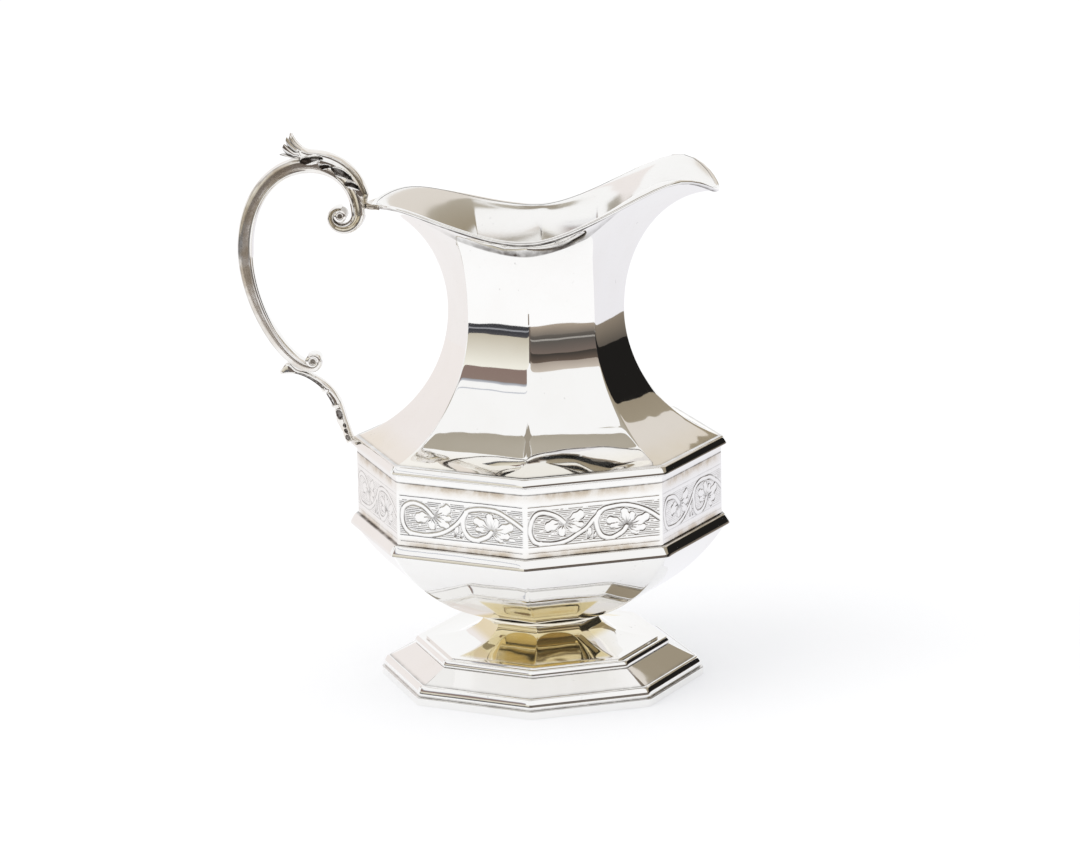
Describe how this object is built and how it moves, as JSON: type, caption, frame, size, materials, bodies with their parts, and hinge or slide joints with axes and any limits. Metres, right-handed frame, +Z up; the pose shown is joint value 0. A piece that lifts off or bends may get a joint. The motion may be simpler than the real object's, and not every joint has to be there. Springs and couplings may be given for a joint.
{
  "type": "cream jug",
  "caption": "Eight-sided silver cream jug with a wavy mouth, broad pouring lip, engraved belt, stepped foot and a scroll handle with a leaf cap.",
  "frame": {"origin": "on the table, under the middle of the jug's length and width", "axes": "+Z up; +X from the handle towards the pouring lip; +Y across the jug"},
  "size_m": [0.1124, 0.0884, 0.1276],
  "materials": {
    "polished_silver": "mirror-polished sterling silver sheet and drawn mouldings",
    "engraved_silver": "bright silver with engraved leaf scrolls on a hatched ground",
    "cast_silver": "cast and chased silver, slightly tarnished in the hollows"
  },
  "bodies": {
    "root": {"foot_rim": "polished_silver", "foot_base_moulding": "polished_silver", "foot_skirt": "polished_silver", "foot_step_moulding": "polished_silver", "foot_stem": "polished_silver", "stem_bead": "polished_silver", "stem_collar": "polished_silver", "bowl": "polished_silver", "belt_lower_moulding": "polished_silver", "belt_upper_moulding": "polished_silver", "neck": "polished_silver", "rim_wire": "polished_silver", "engraved_belt": "engraved_silver", "handle_scroll": "cast_silver", "handle_leaf": "cast_silver", "handle_rim_plate": "cast_silver", "handle_bracket": "cast_silver"}
  },
  "joints": []
}
